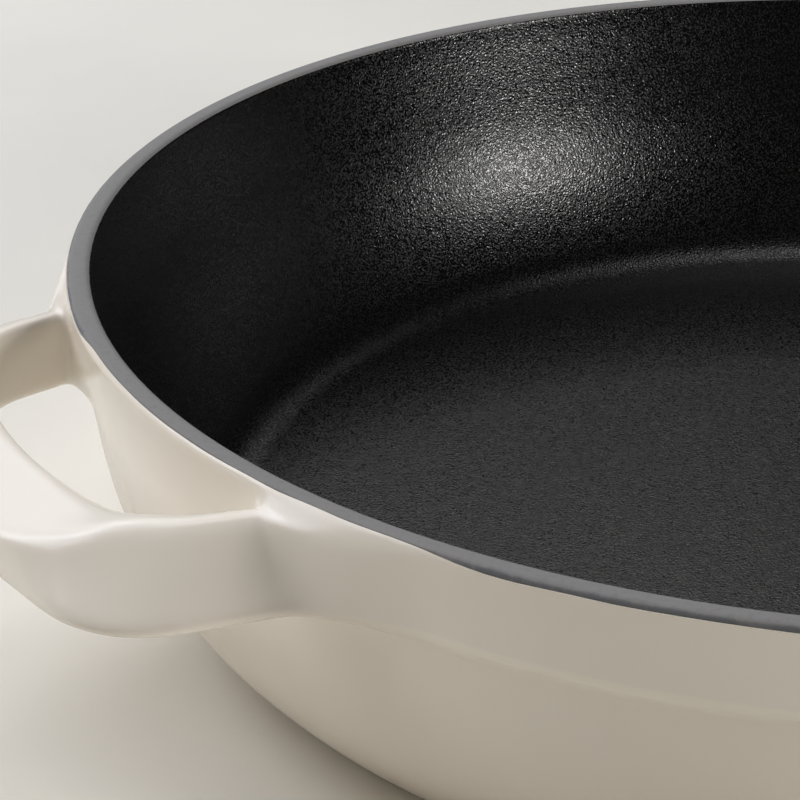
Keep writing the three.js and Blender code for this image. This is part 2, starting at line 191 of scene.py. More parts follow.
class StageSettings(bpy.types.PropertyGroup):
    """Floor, light and camera."""

    floor_size: length("Floor size", "Side of the floor", 6000)
    floor_colour: colour("Floor colour", "Pale floor", (0.752, 0.722, 0.655))
    world_colour: colour("World colour", "Colour of the light from all round", (1.0, 0.95, 0.87))
    world_strength: share("World strength", "Strength of the light from all round", 0.015)
    window_power: power("Window power", "Soft light from behind the left handle", 10.9)
    high_window_power: power("High window power", "Soft light from behind the pan, high up", 6.3)
    low_window_power: power("Low window power", "Soft light from behind the pan, lower down", 5.8)
    back_power: power("Back power", "Soft light that shows in the pan's floor", 2.7)
    back_colour: colour("Back colour", "Colour of the lights that show in the floor", (1.0, 0.99, 0.97))
    window_colour: colour("Window colour", "Colour of the lights behind the pan", (0.893, 0.922, 1.0))
    overhead_power: power("Overhead power", "Soft light that shows along the floor's far edge", 1.2)
    glint_power: power("Glint power", "Low soft light that shows in the far inner wall", 10.5)
    glint_colour: colour("Glint colour", "Colour of the low light", (1.0, 0.985, 0.975))
    fill_power: power("Fill power", "Soft light from in front of the left handle", 2.9)
    fill_colour: colour("Fill colour", "Colour of the light in front", (1.0, 0.89, 0.7))
    lens: camera_length("Lens", "Focal length", 135)
    sensor: camera_length("Sensor", "Width of the sensor", 36)


class Fineness(bpy.types.PropertyGroup):
    """Counts of faces on round stretches."""

    turn: count("Turn", "Columns round the bowl", 192)
    lip: count("Lip", "Faces over a lip edge", 3)
    collar: count("Collar", "Rows from the lip to the ridge", 6)
    ridge: count("Ridge", "Rows over the ridge's round, and over its hollow", 2)
    wall: count("Wall", "Rows down the drafted wall", 4)
    belly: count("Belly", "Rows round the belly", 6)
    foot: count("Foot", "Rows round the foot's edge", 3)
    fillet: count("Fillet", "Rows round the floor fillet", 8)
    floor: count("Floor", "Rings of the floor", 6)
    corner: count("Corner", "Steps round a corner of the loop", 7)
    bar: count("Bar", "Steps from a corner to the middle of the bar", 5)
    root_first: count("Root first", "Column where a root begins", 7)
    root_last: count("Root last", "Column where a root ends", 14)


# Profile helpers: a point of a profile is (radius, height)

def lerp(a, b, t):
    return a + (b - a) * t


def smooth_step(t):
    t = min(max(t, 0.0), 1.0)
    return t * t * (3 - 2 * t)


def polar(radius, turn):
    return radius * Vector((math.cos(turn), math.sin(turn)))


def arc(centre, radius, start, end, steps):
    """Points of an arc, both ends included."""
    return [centre + polar(radius, lerp(start, end, i / steps)) for i in range(steps + 1)]


def straight(start, end, steps):
    """Points of a straight stretch, without its start."""
    return [start.lerp(end, i / steps) for i in range(1, steps + 1)]


class BowlShape:
    """Centres and angles that the coats share, worked out from the sizes."""

    def __init__(self, sizes):
        self.sizes = sizes
        draft = sizes.wall_draft
        self.lip_inside = sizes.lip_radius - sizes.lip_width
        self.spring = sizes.height - sizes.lip_round
        self.lip_outer = Vector((sizes.lip_radius - sizes.lip_round, self.spring))
        self.lip_inner = Vector((self.lip_inside + sizes.lip_round, self.spring))
        self.ridge_height = sizes.height - sizes.ridge_drop
        self.belly_height = sizes.height - sizes.belly_drop
        thickness = sizes.wall_thickness / math.cos(draft)
        self.belly = self.belly_centre(thickness, sizes.belly_drop, sizes.belly_radius)
        self.inside_belly = self.belly_centre(0, sizes.inside_belly_drop, sizes.inside_belly_radius)

    def belly_centre(self, off, drop, radius):
        """Centre of an arc that leaves the drafted wall at a drop below the lip."""
        draft = self.sizes.wall_draft
        wall = self.lip_inside + off - drop * math.tan(draft)
        height = self.sizes.height - drop
        return Vector((wall - radius * math.cos(draft), height + radius * math.sin(draft)))

    def wall_radius(self, height):
        """Outer face of the drafted wall."""
        at_lip = self.lip_inside + self.sizes.wall_thickness / math.cos(self.sizes.wall_draft)
        return at_lip - (self.sizes.height - height) * math.tan(self.sizes.wall_draft)

    def bare_radius(self, height):
        """Outer face where no collar stands on it: straight from the belly to the lip."""
        foot = self.wall_radius(self.belly_height)
        rise = (height - self.belly_height) / (self.spring - self.belly_height)
        return lerp(foot, self.sizes.lip_radius, rise)

    def round_to_level(self, belly, belly_radius, round_radius, level):
        """Centre of the round from a belly to a level surface, and the angle where they meet."""
        reach = belly_radius - round_radius
        fall = belly.y - level - round_radius
        centre = Vector((belly.x + math.sqrt(reach * reach - fall * fall), level + round_radius))
        return centre, -math.asin(fall / reach)

    def foot(self):
        return self.round_to_level(self.belly, self.sizes.belly_radius, self.sizes.foot_round, 0)

    def fillet(self):
        return self.round_to_level(self.inside_belly, self.sizes.inside_belly_radius,
                                   self.sizes.floor_fillet, self.sizes.floor_thickness)

    def ridge(self):
        """Centres of the ridge's round and of the hollow under it, the collar's lean, and their slope."""
        s = self.sizes
        radius = self.wall_radius(self.ridge_height) + s.ridge_step
        lean = math.atan2(radius - s.lip_radius, self.spring - self.ridge_height)
        across = s.ridge_round * math.cos(lean) + s.ridge_hollow * math.cos(s.wall_draft) - s.ridge_step
        down = s.ridge_round * math.sin(lean) - s.ridge_hollow * math.sin(s.wall_draft)
        level = across * math.cos(s.wall_draft) - down * math.sin(s.wall_draft)
        both = s.ridge_round + s.ridge_hollow
        slope = s.wall_draft + math.acos(level / both)
        round_centre = Vector((radius, self.ridge_height)) - polar(s.ridge_round, lean)
        hollow_centre = round_centre + polar(both, -slope)
        return round_centre, hollow_centre, lean, slope


def outside_line(sizes, fine):
    """Outside profile from the grey coat's edge over the lip, collar, ridge and belly to the foot.

    Also gives the rows between which a handle's root leaves the wall.
    """
    bowl = BowlShape(sizes)
    draft = sizes.wall_draft
    coat_edge = math.pi / 2 - sizes.lip_coat_turn
    points = arc(bowl.lip_outer, sizes.lip_round, coat_edge, 0, fine.lip)
    root_top = fine.lip - 2
    round_centre, hollow_centre, lean, slope = bowl.ridge()
    ridge = arc(round_centre, sizes.ridge_round, lean, -slope, fine.ridge)
    points += straight(points[-1], ridge[0], fine.collar)
    points += ridge[1:]
    points += arc(hollow_centre, sizes.ridge_hollow, math.pi - slope, math.pi - draft, fine.ridge)[1:]
    root_bottom = len(points) - 2
    foot_centre, meeting = bowl.foot()
    belly = arc(bowl.belly, sizes.belly_radius, -draft, meeting, fine.belly)
    points += straight(points[-1], belly[0], fine.wall)
    points += belly[1:]
    points += arc(foot_centre, sizes.foot_round, meeting, draft - math.pi / 2, fine.foot)[1:]
    return points, (root_top, root_bottom)


def inside_line(sizes, fine):
    """Inside profile from the grey coat's edge down the wall and across the floor to the axis."""
    bowl = BowlShape(sizes)
    coat_edge = math.pi / 2 + sizes.lip_coat_inner_turn
    fillet_centre, meeting = bowl.fillet()
    points = arc(bowl.lip_inner, sizes.lip_round, coat_edge, math.pi, fine.lip)
    belly = arc(bowl.inside_belly, sizes.inside_belly_radius, -sizes.wall_draft, meeting, fine.belly)
    points += straight(points[-1], belly[0], fine.wall)
    points += belly[1:]
    points += arc(fillet_centre, sizes.floor_fillet, meeting, -math.pi / 2, fine.fillet)[1:]
    points += straight(points[-1], Vector((0, sizes.floor_thickness)), fine.floor)
    return points


def offset_line(points, distance):
    """The same line moved to the left of its direction."""
    moved = []
    for i, here in enumerate(points):
        before = points[max(i - 1, 0)]
        after = points[min(i + 1, len(points) - 1)]
        along = (after - before).normalized()
        moved.append(here + distance * Vector((-along.y, along.x)))
    return moved


# Modelling helpers

COAT_EDGE = math.radians(50)
INSIDE_EDGE = math.radians(40)
CASTING_EDGE = math.radians(35)


def start_piece(name):
    """A new mesh at the origin, in edit mode, drawn in to a single selected point."""
    bpy.ops.object.select_all(action="DESELECT")
    bpy.ops.mesh.primitive_plane_add(size=MM, location=(0, 0, 0))
    piece = bpy.context.object
    piece.name = name
    piece.data.name = name
    bpy.ops.object.mode_set(mode="EDIT")
    bpy.ops.mesh.select_mode(type="VERT")
    bpy.ops.mesh.select_all(action="SELECT")
    bpy.ops.mesh.merge(type="CENTER")
    return piece


def edited_points(piece):
    """Points of the mesh in edit mode, which is updated once they have been gone through."""
    yield from bmesh.from_edit_mesh(piece.data).verts
    bmesh.update_edit_mesh(piece.data)


def clear_selection(kind):
    """Selects nothing, and sets what is selected next: points, edges or faces."""
    bpy.ops.mesh.select_mode(type=kind)
    bpy.ops.mesh.select_all(action="DESELECT")


def in_plane(point):
    """A point of a profile, in the XZ plane."""
    return Vector((point.x, 0, point.y))


def extrude_along(here, points):
    """Extrudes the selected point from where it is along a profile."""
    for there in map(in_plane, points):
        bpy.ops.mesh.extrude_region_move(TRANSFORM_OT_translate={"value": there - here})
        here = there


def draw_profile(points, closed):
    """Moves the selected point to the start of a profile and extrudes it along the rest."""
    start = in_plane(points[0])
    bpy.ops.transform.translate(value=start)
    extrude_along(start, points[1:])
    if closed:
        clear_selection("VERT")
        for v in edited_points(bpy.context.object):
            v.select_set(len(v.link_edges) == 1)
        bpy.ops.mesh.edge_face_add()


def draw_back_line(piece, front, back):
    """Extrudes the start of a drawn line on along its back, so that the spun skin is closed."""
    clear_selection("VERT")
    start = in_plane(front[0])
    min(edited_points(piece), key=lambda v: (v.co - start).length).select_set(True)
    extrude_along(start, back)


SPIN_MERGE = 0.002 * MM


def spin_profile(columns):
    """Turns the drawn profile once round the axis and closes the seam and the poles."""
    bpy.ops.mesh.select_all(action="SELECT")
    bpy.ops.mesh.spin(steps=columns, angle=2 * math.pi, center=(0, 0, 0), axis=(0, 0, 1))
    bpy.ops.mesh.select_all(action="SELECT")
    bpy.ops.mesh.remove_doubles(threshold=SPIN_MERGE)
    bpy.ops.mesh.normals_make_consistent(inside=False)


def apply_modifier(piece, kind, name, **settings):
    """Adds a modifier with its settings and applies it."""
    modifier = piece.modifiers.new(name, kind)
    for key, value in settings.items():
        setattr(modifier, key, value)
    bpy.ops.object.modifier_apply(modifier=name)


def finish_piece(piece, node, material, edge_angle):
    """Smooth shading, the material, and the piece's place in the frame."""
    bpy.ops.object.mode_set(mode="OBJECT")
    bpy.ops.object.shade_smooth_by_angle(angle=edge_angle)
    piece.data.materials.clear()
    piece.data.materials.append(material)
    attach(piece, BODY)
    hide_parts(node)


# Loop handle

def bezier(a, b, c, steps):
    """Points of a quadratic curve, both ends included."""
    return [a.lerp(b, i / steps).lerp(b.lerp(c, i / steps), i / steps) for i in range(steps + 1)]


def plan_half(lip_radius, half_span, taper, ease, reach, crown, fine):
    """Half of a plan outline: the root, the end of the arm, and the corner and bar after it."""
    root = Vector((math.sqrt(lip_radius ** 2 - half_span ** 2), half_span))
    corner = Vector((reach - crown, half_span - taper))
    crest = Vector((reach + crown / 2, 0))
    arm_end = corner + ease * (root - corner).normalized()
    bar_start = corner + ease * (crest - corner).normalized()
    far_start = Vector((bar_start.x, -bar_start.y))
    bend = bezier(arm_end, corner, bar_start, fine.corner)
    bar = bezier(bar_start, crest, far_start, 2 * fine.bar)
    return root, arm_end, bend + bar[1:fine.bar + 1]


def along_arm(root, arm_end, radius):
    """Point of an arm's edge at a distance from the pan's axis."""
    run = arm_end - root
    a = run.length_squared
    b = 2 * root.dot(run)
    c = root.length_squared - radius * radius
    return root + run * ((-b + math.sqrt(b * b - 4 * a * c)) / (2 * a))


def fillet_spread(radius, part):
    """How far a fillet still stands off the arm, at a part of its radius from the wall."""
    return radius * (1 - math.sqrt(1 - (1 - part) ** 2))


ROOT_STEPS = (0.08, 0.2, 0.36, 0.56, 0.78, 1.0)
BAR_TURN_START = 0.36
BAR_TURN_LENGTH = 1.24
BAR_FALL_START = 0.52
BAR_FALL_LENGTH = 1.08


def half_stations(sizes, handle, fine):
    """Sections of half a loop: inner and outer plan points, and shares of bar, fall, root and ledge."""
    lip = sizes.lip_radius
    outer_root, outer_arm, outer_rest = plan_half(
        lip, handle.half_span, handle.taper, handle.corner_ease, lip + handle.reach, handle.crown, fine)
    inner_root, inner_arm, inner_rest = plan_half(
        lip, handle.opening_half_span, handle.opening_taper, handle.opening_ease,
        lip + handle.reach - handle.bar_width, handle.opening_crown, fine)
    stations = []
    for part in ROOT_STEPS:
        inner = along_arm(inner_root, inner_arm, lip + part * handle.opening_flare)
        outer = along_arm(outer_root, outer_arm, lip + part * handle.root_flare)
        inner.y -= fillet_spread(handle.opening_flare, part)
        outer.y += fillet_spread(handle.root_flare, part)
        ledge = 1 - smooth_step(part)
        stations.append((inner, outer, 0.0, 0.0, fillet_spread(1.0, part), ledge))
    for i, (inner, outer) in enumerate(zip(inner_rest, outer_rest)):
        turn = i / fine.corner if i <= fine.corner else 1 + (i - fine.corner) / fine.bar
        bar = smooth_step((turn - BAR_TURN_START) / BAR_TURN_LENGTH)
        fall = smooth_step((turn - BAR_FALL_START) / BAR_FALL_LENGTH)
        stations.append((inner, outer, bar, fall, 0.0, 0.0))
    return stations


def resample(line, steps):
    """Points at even steps along a line, both ends included."""
    lengths = [0.0]
    for a, b in zip(line, line[1:]):
        lengths.append(lengths[-1] + (b - a).length)
    points = []
    piece = 0
    for i in range(steps + 1):
        target = lengths[-1] * i / steps
        while piece < len(line) - 2 and lengths[piece + 1] < target:
            piece += 1
        span = lengths[piece + 1] - lengths[piece]
        points.append(line[piece].lerp(line[piece + 1], (target - lengths[piece]) / span))
    return points


def inset_corners(corners, inset):
    """The same corners with every side moved inwards; they run anticlockwise."""
    moved = []
    for i, corner in enumerate(corners):
        before = (corner - corners[i - 1]).normalized()
        after = (corners[(i + 1) % len(corners)] - corner).normalized()
        inward = Vector((-before.y - after.y, before.x + after.x))
        moved.append(corner + inward * (inset / (1 + before.dot(after))))
    return moved


LARGEST_ROUND_SHARE = 0.45
ROUND_STEPS = 8


def section_ring(sizes, handle, station, across_count, up_count, inset):
    """Rounded section at a station, from its lower inner edge along the bottom, up, back and down."""
    inner, outer, bar, fall, root, ledge = station
    width = (outer - inner).length
    across = (outer - inner).normalized()
    bottom = sizes.height - handle.bottom_drop
    crest = sizes.height - lerp(handle.arm_crest_drop, handle.bar_crest_drop, bar) + handle.root_rise * root
    arm_shoulder = lerp(handle.arm_crest_drop, handle.root_shoulder_drop, ledge)
    shoulder = sizes.height - lerp(arm_shoulder, handle.bar_shoulder_drop, fall)
    crest_share = lerp(handle.arm_crest_share, handle.root_crest_share, ledge)
    shoulder_round = lerp(handle.shoulder_round, handle.ledge_round, ledge)
    crest_round = lerp(lerp(handle.crest_round, handle.ledge_round, ledge), handle.bar_crest_round, bar)
    corners = inset_corners([
        Vector((0, bottom - handle.inner_dip * (1 - bar))),
        Vector((width, bottom)),
        Vector((width * lerp(crest_share, 1, bar), shoulder)),
        Vector((0, crest)),
    ], inset)
    rounds = [handle.bottom_round, handle.bottom_round, shoulder_round, crest_round]
    halves = []
    for i, corner in enumerate(corners):
        reach = []
        for other in (corners[i - 1], corners[(i + 1) % 4]):
            edge = other - corner
            reach.append(corner + edge.normalized() * min(rounds[i], edge.length * LARGEST_ROUND_SHARE))
        curve = bezier(reach[0], corner, reach[1], ROUND_STEPS)
        middle = ROUND_STEPS // 2
        halves.append((curve[:middle + 1], curve[middle:]))
    ring = []
    for i, steps in enumerate((across_count, up_count, across_count, up_count)):
        side = halves[i][1] + halves[(i + 1) % 4][0]
        ring += resample(side, steps)[:-1]
    return [Vector((inner.x + across.x * p.x, inner.y + across.y * p.x, p.y)) for p in ring]


def turned(point, mirror_y, half_turn):
    """A point of the right loop's upper arm carried to the other arm, and to the left loop."""
    y = -point.y if mirror_y else point.y
    return Vector((-point.x, -y, point.z)) if half_turn else Vector((point.x, y, point.z))


# Outside enamel

def off_handle_axis(point):
    """Angle between a point and the nearer handle's middle, seen from above."""
    return math.atan2(abs(point.y), abs(point.x))


def columns_off(point, fine):
    """The same angle, counted in columns of the bowl."""
    return off_handle_axis(point) * fine.turn / (2 * math.pi)


WALL_MARGIN = 2 * MM


def collar_keep(place, fine):
    """Share of the collar that stands at a column: none in an opening, all beyond the arms."""
    return smooth_step((place - fine.root_first) / (fine.root_last - fine.root_first))


def drop_ridge_in_openings(piece, sizes, inset, fine):
    """Lays the collar back to the drafted wall between the arms of each handle."""
    bowl = BowlShape(sizes)
    for v in edited_points(piece):
        radius = math.hypot(v.co.x, v.co.y)
        on_collar = bowl.belly_height < v.co.z < bowl.spring
        if not on_collar or radius < bowl.wall_radius(v.co.z) - WALL_MARGIN:
            continue
        keep = collar_keep(columns_off(v.co, fine), fine)
        scale = lerp(bowl.bare_radius(v.co.z) - inset, radius, keep) / radius
        v.co.x *= scale
        v.co.y *= scale


SAG_MIDDLE = math.radians(10)
SAG_START = math.radians(16)
SAG_END = math.radians(23)
LEAST_EDGE = math.radians(6)
OVER_SPRING = 0.02 * MM
LONG_WAVES = 12
SHORT_WAVES = 29
SHORT_WAVE_SHARE = 0.8


def edge_sag(sizes, place):
    """How much lower the pale coat's edge hangs at a place: nothing by the handles, all between them."""
    off = math.copysign(off_handle_axis(place), place.x * place.y)
    return sizes.edge_sag * smooth_step((abs(off - SAG_MIDDLE) - SAG_START) / (SAG_END - SAG_START))


def wander(piece, sizes):
    """Lets the edge of the pale coat stray along the lip's round, as a fired edge does."""
    bowl = BowlShape(sizes)
    edge = math.pi / 2 - sizes.lip_coat_turn
    for v in edited_points(piece):
        if v.co.z < bowl.spring + OVER_SPRING:
            continue
        turn = math.atan2(v.co.z - bowl.lip_outer.y, math.hypot(v.co.x, v.co.y) - bowl.lip_outer.x)
        direction = Vector((v.co.x, v.co.y, 0)).normalized()
        stray = noise.noise(direction * LONG_WAVES)
        stray += SHORT_WAVE_SHARE * noise.noise(direction * SHORT_WAVES)
        now = edge - edge_sag(sizes, v.co) + sizes.edge_wander * stray
        turn *= max(now, LEAST_EDGE) / edge
        moved = bowl.lip_outer + polar(sizes.lip_round, turn)
        v.co = (direction.x * moved.x, direction.y * moved.x, moved.y)


def follow_sag(piece, sizes):
    """Draws the grey coat's outer edge down with the edge of the pale coat."""
    bowl = BowlShape(sizes)
    level = math.pi / 2
    for v in edited_points(piece):
        radius = math.hypot(v.co.x, v.co.y)
        place = Vector((radius, v.co.z)) - bowl.lip_outer
        if place.x <= 0:
            continue
        sag = edge_sag(sizes, v.co)
        turn = level - math.atan2(place.y, place.x)
        turn += sag * min(turn / sizes.lip_coat_turn, 1)
        moved = bowl.lip_outer + place.length * Vector((math.sin(turn), math.cos(turn)))
        v.co = (v.co.x * moved.x / radius, v.co.y * moved.x / radius, moved.y)


ROOT_MARGIN = 1 * MM


def open_roots(piece, points, root, fine):
    """Deletes the outer wall where the arms leave it."""
    top, bottom = [points[row] for row in root]
    inner = min(top.x, bottom.x) - ROOT_MARGIN
    clear_selection("FACE")
    for face in bmesh.from_edit_mesh(piece.data).faces:
        middle = face.calc_center_median()
        by_handle = fine.root_first < columns_off(middle, fine) < fine.root_last
        by_height = bottom.y < middle.z < top.y
        face.select_set(by_handle and by_height and math.hypot(middle.x, middle.y) > inner)
    bmesh.update_edit_mesh(piece.data)
    bpy.ops.mesh.delete(type="FACE")
    bpy.ops.mesh.select_mode(type="VERT")


def root_rim(points, root, sizes, inset, fine):
    """Rim of the root hole at the right loop's upper arm, in the section's order."""
    top, bottom = root
    column = 2 * math.pi / fine.turn
    bowl = BowlShape(sizes)

    def on_wall(row, place):
        point = points[row]
        radius = point.x
        if bowl.belly_height < point.y < bowl.spring:
            radius = lerp(bowl.bare_radius(point.y) - inset, point.x, collar_keep(place, fine))
        return Vector((radius * math.cos(place * column), radius * math.sin(place * column), point.y))

    rim = [on_wall(bottom, c) for c in range(fine.root_first, fine.root_last)]
    rim += [on_wall(r, fine.root_last) for r in range(bottom, top, -1)]
    rim += [on_wall(top, c) for c in range(fine.root_last, fine.root_first, -1)]
    rim += [on_wall(r, fine.root_first) for r in range(top, bottom)]
    return rim


def nearest(points, place):
    return min(range(len(points)), key=lambda i: (points[i] - place).length_squared)


RIM_MERGE = 0.01 * MM


def extrude_loop(piece, rings):
    """Extrudes an open rim through a row of rings; the last ring lies on the far rim."""
    rim = rings[0]
    clear_selection("EDGE")
    for edge in bmesh.from_edit_mesh(piece.data).edges:
        on_rim = all((rim[nearest(rim, v.co)] - v.co).length < RIM_MERGE for v in edge.verts)
        edge.select_set(edge.is_boundary and on_rim)
    bmesh.update_edit_mesh(piece.data)
    for before, after in zip(rings, rings[1:]):
        bpy.ops.mesh.extrude_edges_move(TRANSFORM_OT_translate={"value": (0, 0, 0)})
        for v in edited_points(piece):
            if v.select:
                v.co = after[nearest(before, v.co)]


SMOOTH_COLUMNS = 1.5
SMOOTH_UNDER = 3 * MM
SMOOTH_INSIDE = 4 * MM
SMOOTH_OUTSIDE = 2.5 * MM
SMOOTH_SHARE = 0.5
SMOOTH_ROUNDS = 2


def smooth_roots(piece, sizes, handle, fine):
    """Eases each arm into the wall."""
    clear_selection("VERT")
    low = sizes.height - handle.bottom_drop - SMOOTH_UNDER
    high = sizes.height - sizes.lip_round / 2
    for v in edited_points(piece):
        off = columns_off(v.co, fine)
        radius = math.hypot(v.co.x, v.co.y)
        by_root = fine.root_first - SMOOTH_COLUMNS < off < fine.root_last + SMOOTH_COLUMNS
        by_wall = -SMOOTH_INSIDE < radius - sizes.lip_radius < SMOOTH_OUTSIDE
        v.select_set(by_root and by_wall and low < v.co.z < high)
    bpy.ops.mesh.vertices_smooth(factor=SMOOTH_SHARE, repeat=SMOOTH_ROUNDS)


def raise_skin(piece, points, root, inset, context):
    """Spins a profile into the bowl and raises both loop handles out of its outer wall."""
    sizes = context.scene.pan_bowl
    handle = context.scene.pan_handle
    fine = context.scene.pan_fineness
    draw_profile(points, closed=False)
    spin_profile(fine.turn)
    drop_ridge_in_openings(piece, sizes, inset, fine)
    open_roots(piece, points, root, fine)
    across_count = fine.root_last - fine.root_first
    up_count = root[1] - root[0]
    rim = root_rim(points, root, sizes, inset, fine)
    half = [section_ring(sizes, handle, station, across_count, up_count, inset)
            for station in half_stations(sizes, handle, fine)]
    for half_turn in (False, True):
        first = [[turned(p, False, half_turn) for p in ring] for ring in [rim] + half]
        second = [[turned(p, True, half_turn) for p in ring] for ring in [rim] + half[:-1]]
        extrude_loop(piece, first + second[::-1])
    bpy.ops.mesh.select_mode(type="VERT")
    bpy.ops.mesh.select_all(action="SELECT")
    bpy.ops.mesh.remove_doubles(threshold=RIM_MERGE)
    bpy.ops.mesh.normals_make_consistent(inside=False)
    smooth_roots(piece, sizes, handle, fine)


class PAN_OT_outside_enamel(bpy.types.Operator):
    """Pale gloss coat: one skin over the outer wall and both loop handles"""

    bl_idname = "pan.outside_enamel"
    bl_label = "Outside Enamel"

    def execute(self, context):
        sizes = context.scene.pan_bowl
        points, root = outside_line(sizes, context.scene.pan_fineness)
        piece = start_piece("outside_coat")
        raise_skin(piece, points, root, 0, context)
        wander(piece, sizes)
        bpy.ops.object.mode_set(mode="OBJECT")
        apply_modifier(piece, "SUBSURF", "Rounding", levels=1, render_levels=1)
        apply_modifier(piece, "SOLIDIFY", "Coat", thickness=sizes.outside_coat, offset=-1,
                       use_even_offset=True)
        finish_piece(piece, "outside_enamel", pale_enamel(context), COAT_EDGE)
        return {"FINISHED"}


class PAN_OT_inside_enamel(bpy.types.Operator):
    """Satin black coat over the inner wall and the floor"""

    bl_idname = "pan.inside_enamel"
    bl_label = "Inside Enamel"

    def execute(self, context):
        sizes = context.scene.pan_bowl
        fine = context.scene.pan_fineness
        top = inside_line(sizes, fine)
        under = offset_line(top, sizes.inside_coat)
        under[-1].x = 0
        piece = start_piece("inside_coat")
        draw_profile(top, closed=False)
        draw_back_line(piece, top, under)
        spin_profile(fine.turn)
        finish_piece(piece, "inside_enamel", black_enamel(context), INSIDE_EDGE)
        return {"FINISHED"}


class PAN_OT_lip_ground_coat(bpy.types.Operator):
    """Grey ground coat along the lip, running on under the coats beside it"""

    bl_idname = "pan.lip_ground_coat"
    bl_label = "Lip Ground Coat"

    def execute(self, context):
        sizes = context.scene.pan_bowl
        fine = context.scene.pan_fineness
        bowl = BowlShape(sizes)
        level = math.pi / 2
        shown = sizes.lip_round - sizes.lip_coat_sink
        sunk = sizes.lip_round - sizes.lip_lap_sink
        outer_edge = level - sizes.lip_coat_turn
        inner_edge = level + sizes.lip_coat_inner_turn
        top = arc(bowl.lip_outer, sunk, outer_edge - sizes.lip_coat_lap, outer_edge, fine.lip)
        top += arc(bowl.lip_outer, shown, outer_edge, level, fine.lip)[1:]
        top += arc(bowl.lip_inner, shown, level, inner_edge, fine.lip)
        top += arc(bowl.lip_inner, sunk, inner_edge, inner_edge + sizes.lip_coat_lap, fine.lip)[1:]
        under = offset_line(top, sizes.lip_coat)
        piece = start_piece("lip_coat")
        draw_profile(top + under[::-1], closed=True)
        spin_profile(fine.turn)
        follow_sag(piece, sizes)
        finish_piece(piece, "lip_ground_coat", ground_coat(context), COAT_EDGE)
        return {"FINISHED"}


class PAN_OT_base_enamel(bpy.types.Operator):
    """Pale enamel left in the recess inside the foot ring"""

    bl_idname = "pan.base_enamel"
    bl_label = "Base Enamel"

    def execute(self, context):
        sizes = context.scene.pan_bowl
        fine = context.scene.pan_fineness
        centre, _ = BowlShape(sizes).foot()
        edge = centre.x - sizes.foot_width - sizes.foot_chamfer
        bead = sizes.base_coat / 2
        low = sizes.recess_depth
        high = low + sizes.base_coat
        line = [Vector((0, low))]
        line += straight(line[0], Vector((edge - bead, low)), fine.floor)
        line += arc(Vector((edge - bead, low + bead)), bead, -math.pi / 2, math.pi / 2, 2 * fine.foot)[1:]
        line += straight(line[-1], Vector((0, high)), fine.floor)
        piece = start_piece("base_coat")
        draw_profile(line, closed=False)
        spin_profile(fine.turn)
        finish_piece(piece, "base_enamel", base_enamel(context), COAT_EDGE)
        return {"FINISHED"}


COAT_GAP = 0.1 * MM


def casting_line(sizes, fine):
    """Profile of the bare casting, from the middle of its floor over the lip and down to its base."""
    bowl = BowlShape(sizes)
    level = math.pi / 2
    line = offset_line(inside_line(sizes, fine), sizes.inside_coat + COAT_GAP)[::-1]
    line[0].x = 0
    under_lip = sizes.lip_round - sizes.lip_coat - COAT_GAP
    line += arc(bowl.lip_inner, under_lip, level + sizes.lip_coat_inner_turn / 2, level, fine.lip)
    line += arc(bowl.lip_outer, under_lip, level, level - sizes.lip_coat_turn / 2, fine.lip)
    outside, root = outside_line(sizes, fine)
    first = len(line)
    line += offset_line(outside, -sizes.outside_coat - COAT_GAP)
    foot, _ = bowl.foot()
    ring = foot.x - sizes.foot_width
    ceiling = sizes.recess_depth + sizes.base_coat + COAT_GAP
    line.append(Vector((line[-1].x, 0)))
    line.append(Vector((ring, 0)))
    line.append(Vector((ring - sizes.foot_chamfer, sizes.foot_chamfer)))
    line.append(Vector((ring - sizes.foot_chamfer, ceiling)))
    line.append(Vector((0, ceiling)))
    return line, [first + row for row in root]


class PAN_OT_iron_casting(bpy.types.Operator):
    """Iron casting under the coats, bare only where the foot ring is ground"""

    bl_idname = "pan.iron_casting"
    bl_label = "Iron Casting"

    def execute(self, context):
        sizes = context.scene.pan_bowl
        points, root = casting_line(sizes, context.scene.pan_fineness)
        piece = start_piece("casting")
        raise_skin(piece, points, root, sizes.outside_coat + COAT_GAP, context)
        finish_piece(piece, "iron_casting", cast_iron(context), CASTING_EDGE)
        return {"FINISHED"}


# Materials

NOISE_LOW = 0.3
NOISE_HIGH = 0.7


